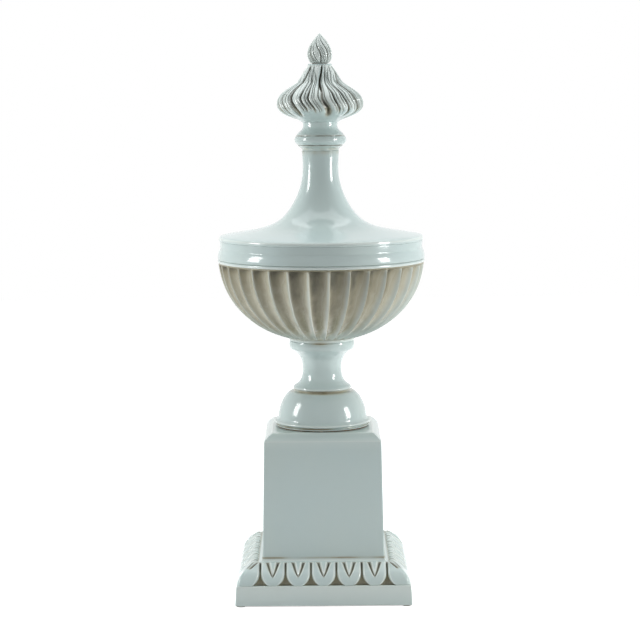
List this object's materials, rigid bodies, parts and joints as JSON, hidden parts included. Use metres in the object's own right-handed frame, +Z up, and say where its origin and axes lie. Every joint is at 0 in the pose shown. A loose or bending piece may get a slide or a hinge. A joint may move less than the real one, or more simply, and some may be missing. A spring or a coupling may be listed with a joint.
{
  "type": "covered urn vase",
  "caption": "Tall covered urn in pale glazed ceramic: fluted bowl on a waisted foot and square plinth, with a trumpet lid and flame finial that lift off.",
  "frame": {"origin": "centre of the square footprint, on the ground under the felt pads", "axes": "+Z up along the turned axis, +X to the right seen from the front, the front face of the plinth towards -Y"},
  "size_m": [0.2982, 0.2982, 0.7998],
  "materials": {
    "glaze": "glossy pale blue-green glaze with a brown wash in the low places",
    "washed_glaze": "glossy pale glaze, the flutes washed beige and olive",
    "steel": "zinc plated",
    "brass": "plain turned",
    "cork": "pressed cork",
    "rubber": "matt black",
    "felt": "pressed wool felt"
  },
  "bodies": {
    "urn": {"felt_pads": "felt", "base_casting": "glaze", "clamp_plate": "steel", "base_washer": "steel", "base_nut": "steel", "tie_rod": "steel", "plinth_cork": "cork", "plinth_casting": "glaze", "foot_cork": "cork", "foot_casting": "glaze", "bowl_cork": "cork", "bowl_casting": "washed_glaze", "bowl_cushion": "rubber", "bowl_washer": "steel", "bowl_nut": "steel"},
    "seal": {"lid_seal": "felt"},
    "lid": {"lid_casting": "glaze", "collar_cork": "cork", "neck_collar": "glaze", "swirl_cork": "cork", "flame_swirl": "washed_glaze", "bud_cork": "cork", "flame_bud": "washed_glaze", "bud_socket": "brass", "finial_rod": "brass", "finial_cushion": "rubber", "finial_washer": "brass", "finial_nut": "brass"}
  },
  "joints": [
    {"name": "lid_turn", "type": "hinge", "parent": "urn", "child": "seal", "pos_m": [0, 0, 0.5065], "axis": [0, 0, 1], "continuous": true},
    {"name": "lid_lift", "type": "slide", "parent": "seal", "child": "lid", "axis": [0, 0, 1], "range_m": [0, 0.3]}
  ]
}
